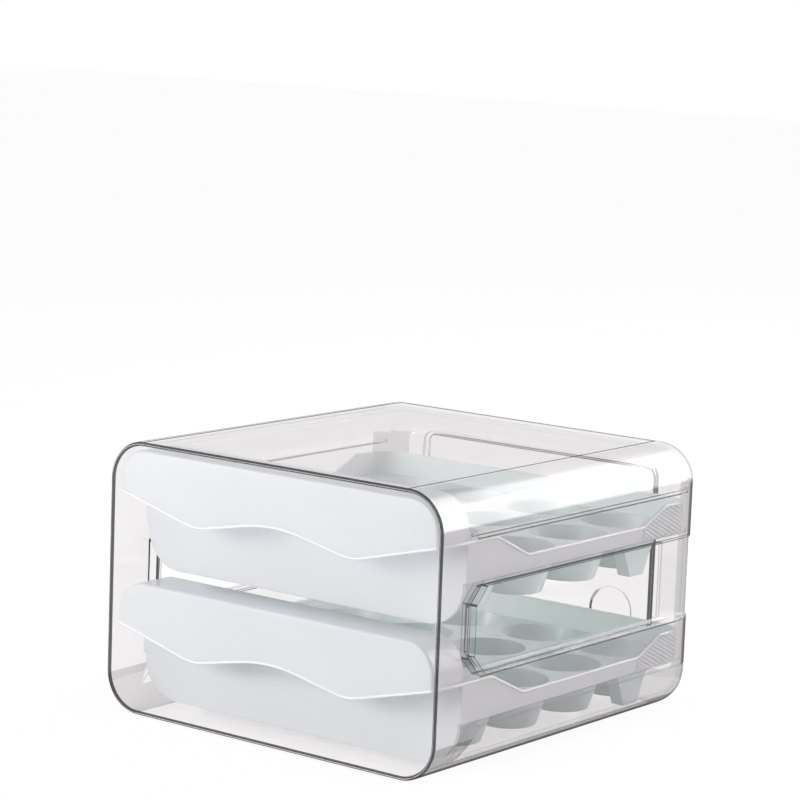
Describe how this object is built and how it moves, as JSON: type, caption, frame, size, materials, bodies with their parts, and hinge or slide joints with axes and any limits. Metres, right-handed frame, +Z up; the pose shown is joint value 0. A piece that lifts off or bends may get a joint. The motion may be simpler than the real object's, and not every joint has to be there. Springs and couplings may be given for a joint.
{
  "type": "egg holder",
  "caption": "Clear open-front egg box with side windows and white sliding drawers; each drawer has tapered egg cups and a waved hood to pull it by.",
  "frame": {"origin": "middle of the shell's underside, on the surface that it stands on", "axes": "+Z up; +Y from the open front towards the closed back; +X to the right, seen from the front"},
  "size_m": [0.225, 0.244, 0.15],
  "materials": {
    "clear_plastic": "clear, glossy, slightly smoky",
    "white_plastic": "white, satin moulded"
  },
  "bodies": {
    "shell": {"outer_shell": "clear_plastic"},
    "upper_drawer": {"upper_drawer": "white_plastic"},
    "lower_drawer": {"lower_drawer": "white_plastic"}
  },
  "joints": [
    {"name": "upper_drawer_slide", "type": "slide", "parent": "shell", "child": "upper_drawer", "axis": [0, -1, 0], "range_m": [0, 0.18]},
    {"name": "lower_drawer_slide", "type": "slide", "parent": "shell", "child": "lower_drawer", "axis": [0, -1, 0], "range_m": [0, 0.18]}
  ]
}
